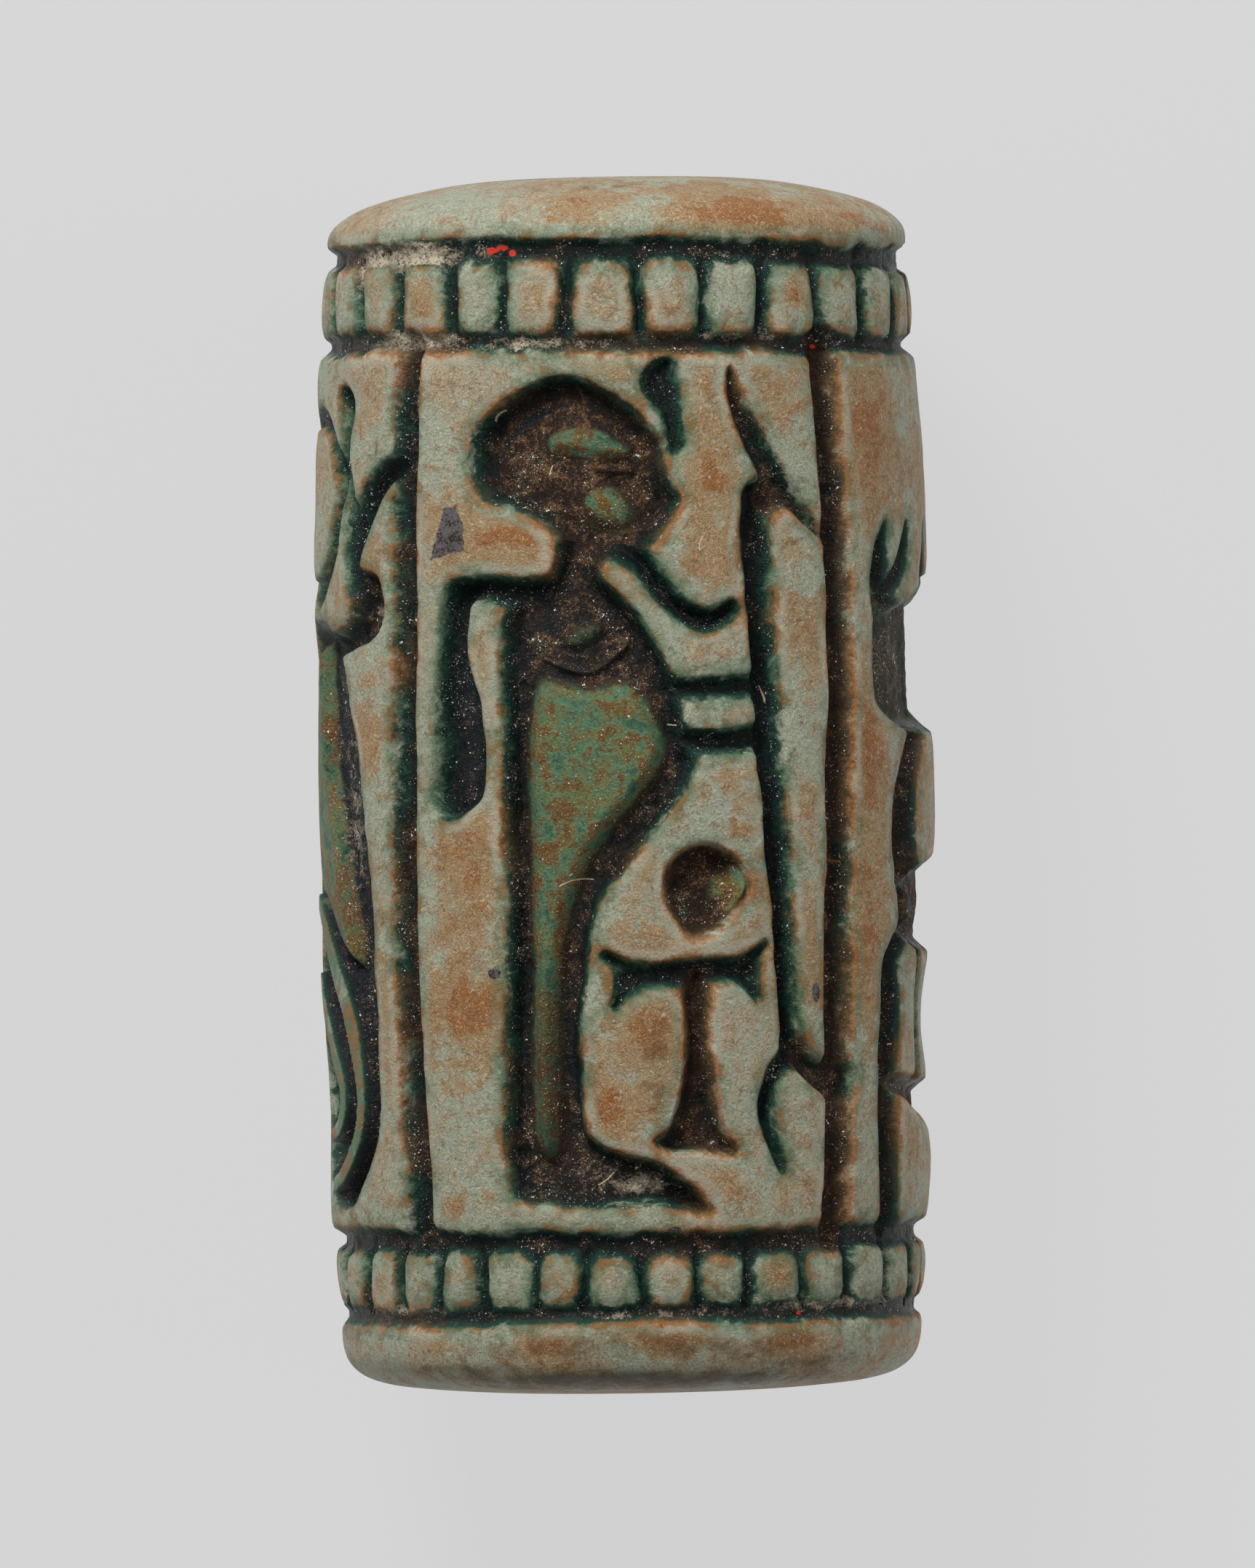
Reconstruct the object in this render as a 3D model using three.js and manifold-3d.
// A small glazed stone cylinder seal, pierced lengthwise for a cord and carved all round in sunk relief.
// It lies on its side on a small flat worn along its back.
// X runs across the seal, Y along its axis towards the figures' heads, and Z up through the front panel.
// The origin is the middle of the flat underside. Millimetres throughout.

import * as THREE from 'three';
import { mergeVertices } from 'three/addons/utils/BufferGeometryUtils.js';
import Module from 'manifold-3d';

const wasm = await Module();
wasm.setup();

// The blank
const LENGTH = 21;
const GIRTH_RADIUS = 5.38;          // at mid length, where the barrel is fullest
const BARREL = 0.0037;              // radius lost for each square millimetre of distance from mid length
const BORE_RADIUS = 1.25;
const MOUTH_RADIUS = 2.05;          // outer edge of the small flat ring around each end of the bore
const REST_FLAT_DEPTH = 0.1;        // how much the resting flat takes off the back
const SIDES = 44;

// The carving
const ARC_RADIUS = 5.35;            // distances across the surface are arcs of this radius
const PANELS = 4;
const PANEL_WIDTH = 2 * Math.PI * ARC_RADIUS / PANELS;
const FIELD_TOP = 7.7;              // the carved register, between the inner pair of ring grooves
const FIELD_BOTTOM = -7.93;
const LADDER_TOP = 9.3;
const LADDER_BOTTOM = -9.22;
const RING_WIDTH = 0.36;
const RING_DEPTH = 0.3;
const SLOT_WIDTH = 0.32;
const SLOT_DEPTH = 0.25;
const TOP_BLOCKS = 28;
const BOTTOM_BLOCKS = 32;
const RULES = [                     // the upright lines between panels, and how far each bows at mid length
  { s: -4.01, bow: -0.3 },
  { s: 3.99, bow: 0.28 },
  { s: 1.5 * PANEL_WIDTH, bow: 0.15 },
  { s: 2.5 * PANEL_WIDTH, bow: -0.15 },
];
const RULE_WIDTH = 0.6;
const RULE_DEPTH = 0.42;
const CARVING_DEPTH = 0.5;
const LIFT = 0.35;                  // how far each cutter stands proud of the surface
const NICK_LIFT = 0.12;             // the same for the small V cuts

const surfaceRadius = (h) => GIRTH_RADIUS - BARREL * h * h;
const AXIS_HEIGHT = GIRTH_RADIUS - REST_FLAT_DEPTH;

// A point at arc s across the surface, h along the axis and radius r from it.
function place([s, h], r) {
  const turn = s / ARC_RADIUS;
  return new THREE.Vector3(r * Math.sin(turn), h, AXIS_HEIGHT + r * Math.cos(turn));
}

function solidFrom(geometry) {
  geometry.deleteAttribute('normal');
  geometry.deleteAttribute('uv');
  const merged = mergeVertices(geometry, 1e-5);
  return new wasm.Manifold(new wasm.Mesh({
    numProp: 3,
    vertProperties: merged.attributes.position.array,
    triVerts: Uint32Array.from(merged.index.array),
  }));
}

function geometryFrom(solid) {
  const mesh = solid.getMesh();
  const geometry = new THREE.BufferGeometry();
  geometry.setAttribute('position', new THREE.BufferAttribute(mesh.vertProperties, 3));
  geometry.setIndex(new THREE.BufferAttribute(mesh.triVerts, 1));
  geometry.computeVertexNormals();
  return geometry;
}

// A closed solid between an upper and a lower grid of points, grid[row][column].
function solidBetween(upper, lower) {
  const rows = upper.length;
  const columns = upper[0].length;
  const points = [...upper.flat(), ...lower.flat()];
  const up = (i, k) => i * columns + k;
  const low = (i, k) => (rows + i) * columns + k;
  const triangles = [];
  const quad = (a, b, c, d) => triangles.push(a, b, c, a, c, d);
  for (let i = 0; i < rows - 1; i++) {
    for (let k = 0; k < columns - 1; k++) {
      quad(up(i, k), up(i, k + 1), up(i + 1, k + 1), up(i + 1, k));
      quad(low(i, k), low(i + 1, k), low(i + 1, k + 1), low(i, k + 1));
    }
    quad(up(i, 0), up(i + 1, 0), low(i + 1, 0), low(i, 0));
    quad(up(i + 1, columns - 1), up(i, columns - 1), low(i, columns - 1), low(i + 1, columns - 1));
  }
  for (let k = 0; k < columns - 1; k++) {
    quad(up(0, k + 1), up(0, k), low(0, k), low(0, k + 1));
    quad(up(rows - 1, k), up(rows - 1, k + 1), low(rows - 1, k + 1), low(rows - 1, k));
  }
  return solidOf(points, triangles);
}

// A closed solid of corner points and triangles, turned outwards whichever way they wind.
function solidOf(points, triangles) {
  let volume = 0;
  for (let t = 0; t < triangles.length; t += 3) {
    const [a, b, c] = [0, 1, 2].map((k) => points[triangles[t + k]]);
    volume += a.dot(b.clone().cross(c));
  }
  const geometry = new THREE.BufferGeometry().setFromPoints(points);
  geometry.setIndex(volume < 0 ? [...triangles].reverse() : triangles);
  return solidFrom(geometry);
}

const along = (a, b, t) => [a[0] + (b[0] - a[0]) * t, a[1] + (b[1] - a[1]) * t];

// A smooth line through points [s, h], as that many steps.
function smooth(points, steps) {
  const curve = new THREE.CatmullRomCurve3(points.map(([s, h]) => new THREE.Vector3(s, h, 0)));
  return curve.getSpacedPoints(steps).map((p) => [p.x, p.y]);
}

// A sunk area between a left and a right edge, both given as the same number of points [s, h].
// Its walls lean out a little, as a graver leaves them.
function sunkBetween(left, right, { depth = CARVING_DEPTH, columns = 3, lean = 0.16 } = {}) {
  const upper = [];
  const lower = [];
  left.forEach((a, i) => {
    const b = right[i];
    const width = Math.hypot(b[0] - a[0], b[1] - a[1]);
    const flare = lean * LIFT / depth / width;
    const inset = Math.min(lean / width, 0.35);
    const steps = [...Array(columns + 1).keys()].map((k) => k / columns);
    upper.push(steps.map((u) => {
      const p = along(a, b, u * (1 + 2 * flare) - flare);
      return place(p, surfaceRadius(p[1]) + LIFT);
    }));
    lower.push(steps.map((u) => {
      const p = along(a, b, u * (1 - 2 * inset) + inset);
      return place(p, surfaceRadius(p[1]) - depth);
    }));
  });
  return solidBetween(upper, lower);
}

// A groove along a smooth path. Its width may change from start to finish, and a free end runs out narrow.
function groove(path, width, { depth = CARVING_DEPTH, steps = 5, finish = width, tips = 0 } = {}) {
  const line = smooth(path, steps);
  const left = [];
  const right = [];
  line.forEach((p, i) => {
    const before = line[Math.max(i - 1, 0)];
    const after = line[Math.min(i + 1, steps)];
    const reach = Math.hypot(after[0] - before[0], after[1] - before[1]);
    const ends = (i === steps && tips > 0) || (i === 0 && tips > 1) ? 0.4 : 1;
    const half = ends * (width + (finish - width) * i / steps) / 2;
    const across = [(after[1] - before[1]) / reach * half, (before[0] - after[0]) / reach * half];
    left.push([p[0] - across[0], p[1] - across[1]]);
    right.push([p[0] + across[0], p[1] + across[1]]);
  });
  const lean = Math.min(0.28 * Math.min(width, finish), 0.14);
  return sunkBetween(left, right, { depth, columns: 1, lean });
}

// A rounded form left standing on a sunk floor, between two edges. Its crest lies this far below the surface.
function swelling(left, right, crest) {
  const root = CARVING_DEPTH + 0.12;    // its foot, a little under the sunk floor
  const sides = [root, crest + 0.09, crest, crest + 0.09, root];
  const spread = [0, 0.2, 0.5, 0.8, 1];
  const upper = left.map((a, i) => spread.map((u, k) => {
    const p = along(a, right[i], u);
    const end = i === 0 || i === left.length - 1;
    return place(p, surfaceRadius(p[1]) - (end ? root : sides[k]));
  }));
  const lower = left.map((a, i) => spread.map((u) => {
    const p = along(a, right[i], u);
    return place(p, surfaceRadius(p[1]) - root - 0.1);
  }));
  return solidBetween(upper, lower);
}

// The two halves of an oval outline, top to bottom, for sunkBetween and swelling.
function ovalEdges(centre, halfWidth, halfHeight, rows, slant = 0) {
  const angles = [...Array(rows + 1).keys()].map((i) => Math.PI * (0.07 + 0.86 * i / rows));
  const [cos, sin] = [Math.cos(slant), Math.sin(slant)];
  const side = (sign) => angles.map((t) => {
    const [x, y] = [sign * halfWidth * Math.sin(t), halfHeight * Math.cos(t)];
    return [centre[0] + x * cos - y * sin, centre[1] + x * sin + y * cos];
  });
  return [side(-1), side(1)];
}

// The domed ends, four slightly wandering ring grooves and the bore, as one turned form.
function turnedBlank() {
  const half = LENGTH / 2;
  const ring = (h, wander) => [
    [surfaceRadius(h), h - RING_WIDTH / 2, wander],
    [surfaceRadius(h) - RING_DEPTH, h, wander],
    [surfaceRadius(h), h + RING_WIDTH / 2, wander],
  ];
  const still = () => 0;
  const profile = [
    [BORE_RADIUS, -half, still],
    [MOUTH_RADIUS, -half, still],
    [3.9, 0.12 - half, still],
    [4.62, 0.32 - half, still],
    [surfaceRadius(9.6), 0.8 - half, still],
    ...ring(LADDER_BOTTOM, (turn) => -0.05 * Math.cos(turn + 1.4)),
    ...ring(FIELD_BOTTOM, (turn) => -0.04 * Math.cos(3 * turn)),
    [surfaceRadius(2.6), -3.4, still],
    [surfaceRadius(2.6), 3.4, still],
    ...ring(FIELD_TOP, (turn) => 0.07 * Math.cos(turn + 1.6)),
    ...ring(LADDER_TOP, (turn) => 0.08 * Math.cos(turn + 0.9)),
    [surfaceRadius(9.6) - 0.02, half - 0.9, still],
    [4.55, half - 0.48, still],
    [3.8, half - 0.25, still],
    [MOUTH_RADIUS, half, still],
    [BORE_RADIUS, half, still],
  ];
  const outline = [...profile, profile[0]].map(([r, h]) => new THREE.Vector2(r, h));
  const geometry = new THREE.LatheGeometry(outline, SIDES);
  const position = geometry.attributes.position;
  const rows = outline.length;
  for (let i = 0; i < position.count; i++) {
    const [x, y, z] = [position.getX(i), position.getY(i), position.getZ(i)];
    const wander = profile[i % rows % profile.length][2];
    position.setXYZ(i, x, y + wander(Math.atan2(x, z)), z + AXIS_HEIGHT);
  }
  return solidFrom(geometry);
}

// A short straight nick of V section, from one point [s, h] to another.
function nick(from, to, width = SLOT_WIDTH, depth = SLOT_DEPTH) {
  const run = Math.hypot(to[0] - from[0], to[1] - from[1]);
  const half = width / 2 * (1 + NICK_LIFT / depth);
  const across = [(to[1] - from[1]) / run * half, (from[0] - to[0]) / run * half];
  const corners = [from, to].flatMap(([s, h]) => [
    place([s - across[0], h - across[1]], surfaceRadius(h) + NICK_LIFT),
    place([s + across[0], h + across[1]], surfaceRadius(h) + NICK_LIFT),
    place([s, h], surfaceRadius(h) - depth),
  ]);
  return solidOf(corners, [0, 1, 2, 3, 5, 4, 0, 3, 4, 0, 4, 1, 1, 4, 5, 1, 5, 2, 2, 5, 3, 2, 3, 0]);
}

// The rungs of one border: short cuts right across it, evenly stepped but not quite parallel.
function ladder(low, high, count, first) {
  const pitch = 2 * Math.PI * ARC_RADIUS / count;
  return [...Array(count).keys()].map((k) => {
    const s = first + k * pitch;
    const sway = 0.06 * Math.sin(2.4 * k);
    return nick([s - sway, low], [s + sway, high]);
  });
}

// The upright line at one side of a panel, bowed a little by hand.
function rule({ s, bow }) {
  const reach = FIELD_TOP - FIELD_BOTTOM;
  const path = [0, 0.25, 0.5, 0.75, 1].map((t) => {
    return [s + bow * Math.sin(Math.PI * t), FIELD_BOTTOM + reach * t];
  });
  return groove(path, RULE_WIDTH, { depth: RULE_DEPTH, steps: 6 });
}

// Front panel: a figure wrapped to the feet, in profile to the right, with a cap, a long beard
// and a weight hanging behind from its collar.
function wrappedFigure() {
  const head = ovalEdges([-0.95, 5.72], 1.78, 1.38, 7, -0.12);
  const face = [
    [[0.0, 6.6], [-0.2, 6.0], [-0.2, 5.2], [-0.5, 4.5]],
    [[0.5, 6.25], [0.82, 5.75], [0.98, 5.0], [0.62, 4.2]],
  ];
  const neck = [
    [[-1.45, 4.7], [-1.02, 4.2], [-1.15, 3.5]],
    [[0.75, 4.5], [0.05, 4.0], [-0.35, 3.6]],
  ];
  const front = smooth([
    [-0.25, 3.55], [0.5, 2.75], [1.0, 1.7], [1.3, 0.5], [0.5, -0.8], [-0.45, -2.0], [-0.7, -3.4],
    [-0.85, -5.3], [-0.5, -6.3], [0.5, -6.65], [1.45, -7.4],
  ], 12);
  const back = front.map(([, h]) => [-2.17, Math.max(h, -7.28)]);
  const bodyFront = smooth([
    [-0.1, 1.95], [0.7, 0.9], [0.2, -0.4], [-0.9, -1.8], [-1.2, -3.6], [-1.2, -6.2],
  ], 6);
  const bodyBack = bodyFront.map(([, h]) => [-1.72 + 0.012 * h * h / 4, h]);
  const weight = [
    [[-3.42, 3.35], [-3.45, 2.4], [-3.52, 1.0], [-3.62, 0.1], [-3.4, -0.45]],
    [[-2.86, 3.35], [-2.84, 2.4], [-2.62, 1.2], [-2.56, 0.2], [-2.8, -0.4]],
  ];
  return {
    cuts: [
      sunkBetween(...head, { lean: 0.2 }),
      sunkBetween(...face, { columns: 2 }),
      sunkBetween(...neck),
      sunkBetween(back, front),
      groove([[-1.2, 3.4], [-2.2, 3.44], [-3.25, 3.38]], 0.38, { steps: 2 }),
      sunkBetween(...weight, { columns: 1 }),
      groove([[-0.1, 4.3], [0.5, 3.7], [0.95, 3.12], [1.4, 2.8], [2.05, 2.97]], 0.48, { tips: 1 }),
      groove([[0.82, 7.25], [0.68, 6.8], [0.85, 5.9]], 0.42, { depth: 0.32, steps: 3, tips: 2 }),
      groove([[0.7, 1.6], [1.7, 1.67], [2.6, 1.7]], 0.36, { depth: 0.36, steps: 2 }),
      groove([[0.9, 0.72], [1.75, 0.73], [2.6, 0.8]], 0.4, { depth: 0.36, steps: 2 }),
    ],
    swellings: [
      swelling(bodyBack, bodyFront, 0.24),
      swelling(...ovalEdges([-0.78, 6.02], 0.58, 0.24, 3, -0.2), 0.28),
      swelling(...ovalEdges([-0.12, 4.88], 0.4, 0.36, 3), 0.24),
      swelling(...ovalEdges([-0.85, 2.62], 0.5, 0.32, 3, 0.3), 0.33),
    ],
  };
}

// Front panel: the tall staff with a slanting animal head and a forked foot.
function staff() {
  const head = [[1.98, 7.15], [2.34, 6.3], [3.0, 5.28], [3.82, 4.4]];
  const shaft = [[3.0, 5.2], [2.52, 4.95], [2.44, 4.3], [2.55, 2.6], [2.74, 0.2], [2.9, -2.2], [3.12, -4.75]];
  const nearProng = [[3.12, -4.8], [2.74, -5.2], [2.62, -5.8], [2.82, -6.7]];
  const farProng = [[3.1, -4.55], [3.6, -5.02], [4.1, -5.35]];
  return [
    groove(head, 0.46, { steps: 4, tips: 2 }),
    groove(shaft, 0.5, { steps: 9 }),
    groove(nearProng, 0.34, { depth: 0.32, steps: 4, finish: 0.22, tips: 1 }),
    groove(farProng, 0.46, { depth: 0.4, steps: 2 }),
  ];
}

// Front panel: the looped cross between the figure and its staff.
function loopedCross() {
  const loop = ovalEdges([1.43, -1.88], 0.76, 0.82, 6, -0.35);
  const stem = [
    [[0.95, -3.3], [1.0, -4.4], [0.85, -5.6], [0.45, -6.25]],
    [[1.48, -3.3], [1.42, -4.4], [1.6, -5.6], [1.95, -6.45]],
  ];
  return {
    cuts: [
      sunkBetween(...loop, { depth: 0.46, columns: 2 }),
      groove([[-0.05, -3.3], [1.1, -3.28], [2.3, -3.22]], 0.46, { depth: 0.42, steps: 3 }),
      groove([[-0.34, -2.98], [0.05, -3.32], [-0.18, -3.75]], 0.26, { depth: 0.28, steps: 3, tips: 2 }),
      groove([[2.5, -2.84], [2.2, -3.25], [2.42, -3.72]], 0.26, { depth: 0.28, steps: 3, tips: 2 }),
      sunkBetween(...stem, { depth: 0.44, columns: 1 }),
    ],
    swellings: [swelling(...ovalEdges([1.66, -1.75], 0.3, 0.34, 3), 0.26)],
  };
}

// Left panel: a striding figure turned away to the left, with a tall crown, one arm out and a kilt.
function stridingFigure() {
  const crown = [
    [[-6.1, 7.25], [-6.4, 6.7], [-6.35, 5.9], [-6.2, 5.2], [-6.25, 4.4], [-6.4, 3.5], [-6.6, 2.6]],
    [[-5.85, 7.2], [-5.62, 6.7], [-5.8, 5.9], [-5.6, 5.1], [-5.5, 4.1], [-4.95, 3.4], [-5.3, 2.5]],
  ];
  const bodyBack = smooth([
    [-6.25, 2.5], [-6.0, 1.2], [-5.65, -0.3], [-5.3, -2.4],
    [-5.26, -3.9], [-5.08, -5.4], [-5.25, -6.5], [-6.3, -7.3],
  ], 8);
  const bodyFront = smooth([
    [-8.7, 2.6], [-8.95, 1.2], [-8.9, -0.3], [-8.0, -2.0],
    [-6.65, -3.4], [-5.75, -5.0], [-5.85, -6.1], [-7.0, -7.1],
  ], 8);
  const kilt = smooth([[-6.55, 1.6], [-6.25, 0], [-5.95, -2.2], [-5.9, -3.4]], 4);
  const kiltFront = smooth([[-8.2, 1.6], [-8.4, 0], [-7.5, -1.9], [-6.45, -3.2]], 4);
  return {
    cuts: [
      sunkBetween(...crown, { columns: 2 }),
      groove([[-4.4, 5.7], [-5.0, 5.35], [-5.3, 4.8], [-5.75, 3.9]], 0.46, { steps: 4 }),
      groove([[-6.7, 5.9], [-6.5, 5.2], [-6.75, 4.5], [-7.7, 3.9]], 0.5, { steps: 4, tips: 2 }),
      sunkBetween(...ovalEdges([-8.3, 4.9], 1.15, 0.95, 6), { columns: 3 }),
      groove([[-8.2, 4.2], [-8.0, 3.4], [-7.6, 2.4]], 0.8, { steps: 2 }),
      sunkBetween(bodyFront, bodyBack),
      groove([[-8.4, -2.6], [-7.3, -3.6], [-6.35, -5.1], [-6.6, -6.0], [-7.6, -6.8]], 0.75, { tips: 2 }),
      groove([[-8.5, 2.4], [-9.8, 1.6], [-10.9, 2.6]], 0.5, { steps: 3 }),
      groove([[-11.1, 5.6], [-10.95, 2.0], [-11.2, -6.9]], 0.45, { steps: 4, tips: 2 }),
    ],
    swellings: [
      swelling(kiltFront, kilt, 0.22),
      swelling(...ovalEdges([-8.35, 4.95], 0.62, 0.5, 3), 0.26),
    ],
  };
}

// Right panel: a column of bold made-up signs, the same on both sides of its middle line.
function signColumn() {
  const near = unite([
    groove([[5.78, 4.4], [5.68, 3.9], [5.55, 3.2]], 0.42, { depth: 0.4, steps: 2, finish: 0.55, tips: 2 }),
    groove([[6.8, 4.45], [6.55, 3.85], [5.9, 3.4]], 0.4, { depth: 0.4, steps: 2, tips: 2 }),
    sunkBetween(
      [[5.24, 3.7], [5.2, 3.0], [5.2, 2.1], [5.25, 1.5], [5.75, 1.15]],
      [[5.9, 3.5], [7.0, 3.15], [7.3, 2.1], [7.0, 1.4], [6.5, 1.05]],
      { columns: 3 },
    ),
    groove([[7.0, 0.6], [6.3, 0.15], [5.98, -0.5], [6.05, -1.3], [6.4, -2.1], [5.9, -2.7]], 0.55),
    groove([[5.9, -2.75], [6.5, -2.65], [7.6, -2.3]], 0.4, { depth: 0.4, steps: 2, tips: 1 }),
    groove([[5.75, -2.75], [5.55, -3.9], [5.6, -5.1]], 0.46, { depth: 0.4, steps: 2 }),
    groove([[5.4, -5.1], [6.4, -5.2], [7.4, -5.1]], 0.34, { depth: 0.4, steps: 2, tips: 1 }),
    nick([6.42, -2.7], [6.42, -5.1], 0.34, 0.32),
    groove([[5.4, -5.2], [5.35, -6.4], [5.35, -7.8]], 0.42, { depth: 0.4, steps: 1 }),
    nick([6.6, -5.3], [7.3, -6.9], 0.4, 0.32),
  ]);
  return [near, acrossFrom(near, PANEL_WIDTH)];
}

// The same cutter on the other side of the upright plane through the axis at that arc.
function acrossFrom(solid, arc) {
  const turn = THREE.MathUtils.radToDeg(arc / ARC_RADIUS);
  return solid
    .translate([0, 0, -AXIS_HEIGHT])
    .rotate([0, -turn, 0])
    .mirror([1, 0, 0])
    .rotate([0, turn, 0])
    .translate([0, 0, AXIS_HEIGHT]);
}

// Back panel: rows of short shallow strokes either side of a plain strip, where the seal rests.
function strokeRows() {
  const rows = 4;
  const strokes = [];
  for (let row = 0; row < rows; row++) {
    const h = 5.9 - row * 3.6;
    for (const side of [-1, 1]) {
      const s = 2 * PANEL_WIDTH + side * 2.5;
      const slope = 0.25 * Math.sin(1.7 * row + side);
      strokes.push(nick([s - 1.05, h - slope], [s + 1.05, h + slope], 0.42, 0.3));
      for (const step of row % 2 ? [0] : [-0.6, 0.6]) {
        strokes.push(nick([s + step, h - 0.7], [s + step + 0.08, h - 2.0], 0.42, 0.3));
      }
    }
  }
  return strokes;
}

function unite(solids) {
  return solids.reduce((whole, solid) => whole.add(solid));
}

function restingFlat() {
  const block = new THREE.BoxGeometry(20, LENGTH * 1.2, 4);
  block.translate(0, 0, -2);
  return solidFrom(block);
}

function carvedSeal() {
  const front = wrappedFigure();
  const cross = loopedCross();
  const left = stridingFigure();
  const cuts = [front, cross, left].flatMap((motif) => motif.cuts);
  const swellings = [front, cross, left].flatMap((motif) => motif.swellings);
  const carving = unite([...cuts, ...staff(), ...signColumn(), ...strokeRows()]).subtract(unite(swellings));
  const borders = [
    ...ladder(FIELD_TOP, LADDER_TOP, TOP_BLOCKS, -0.83),
    ...ladder(LADDER_BOTTOM, FIELD_BOTTOM, BOTTOM_BLOCKS, 0.2),
  ];
  return turnedBlank().subtract(unite([carving, ...RULES.map(rule), ...borders, restingFlat()]));
}

const glazedStone = new THREE.MeshStandardMaterial({ color: 0x9d9678, roughness: 0.55, metalness: 0 });
const seal = new THREE.Mesh(geometryFrom(carvedSeal()), glazedStone);
seal.name = 'seal';

const cylinderSeal = new THREE.Group();
cylinderSeal.name = 'cylinder_seal';
cylinderSeal.add(seal);

export default cylinderSeal;
